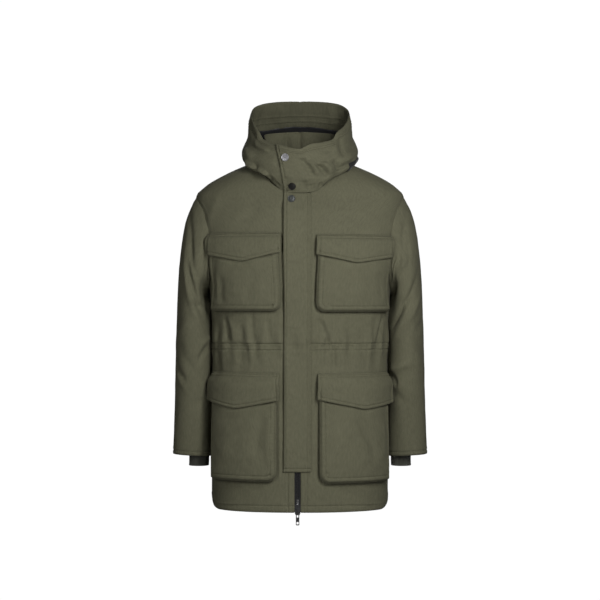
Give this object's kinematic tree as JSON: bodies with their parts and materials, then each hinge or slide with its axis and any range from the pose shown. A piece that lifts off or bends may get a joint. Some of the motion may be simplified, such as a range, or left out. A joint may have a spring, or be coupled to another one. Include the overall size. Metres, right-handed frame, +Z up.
{
  "type": "hooded parka",
  "caption": "Hip-length hooded parka filled out as worn: snap-closed hood, storm flap over a zip, flapped bellows pockets, drawn-in waist and knitted inner cuffs",
  "frame": {"origin": "the centre of the neck at the height where the wearer's shoulders carry the garment", "axes": "+X to the wearer's left, +Y to the back, +Z up; the front faces -Y"},
  "size_m": [0.6014, 0.3678, 0.9922],
  "materials": {
    "shell_cloth": "matt twill",
    "lining_cloth": "matt",
    "black_tape": "matt",
    "wrist_knit": "ribbed knit",
    "zip_plastic": "satin",
    "zip_metal": "satin",
    "snap_silver": "satin",
    "snap_black": "satin",
    "snap_gunmetal": "dark satin"
  },
  "bodies": {
    "garment": {"back": "shell_cloth", "collar_stand": "shell_cloth", "flap_chest_left": "shell_cloth", "flap_chest_right": "shell_cloth", "flap_lower_left": "shell_cloth", "flap_lower_right": "shell_cloth", "front_left": "shell_cloth", "front_right": "shell_cloth", "hood_facing": "shell_cloth", "hood_left": "shell_cloth", "hood_lining": "lining_cloth", "hood_right": "shell_cloth", "hood_tape": "black_tape", "pocket_chest_left": "shell_cloth", "pocket_chest_right": "shell_cloth", "pocket_lower_left": "shell_cloth", "pocket_lower_right": "shell_cloth", "sleeve_left": "shell_cloth", "sleeve_right": "shell_cloth", "snap_hood_bottom": "snap_black", "snap_hood_top": "snap_silver", "snap_storm_flap": "snap_gunmetal", "storm_flap": "shell_cloth", "wrist_cuff_left": "wrist_knit", "wrist_cuff_right": "wrist_knit", "zip_chain": "zip_plastic", "zip_slider": "zip_metal", "zip_tape_left": "black_tape", "zip_tape_right": "black_tape"},
    "zip_pull": {"zip_pull": "zip_metal"}
  },
  "joints": [
    {"name": "zip_pull_swing", "type": "hinge", "parent": "garment", "child": "zip_pull", "pos_m": [-0.0055, -0.1475, -0.8052], "axis": [-1, 0, 0], "range_deg": [0, 170]}
  ]
}
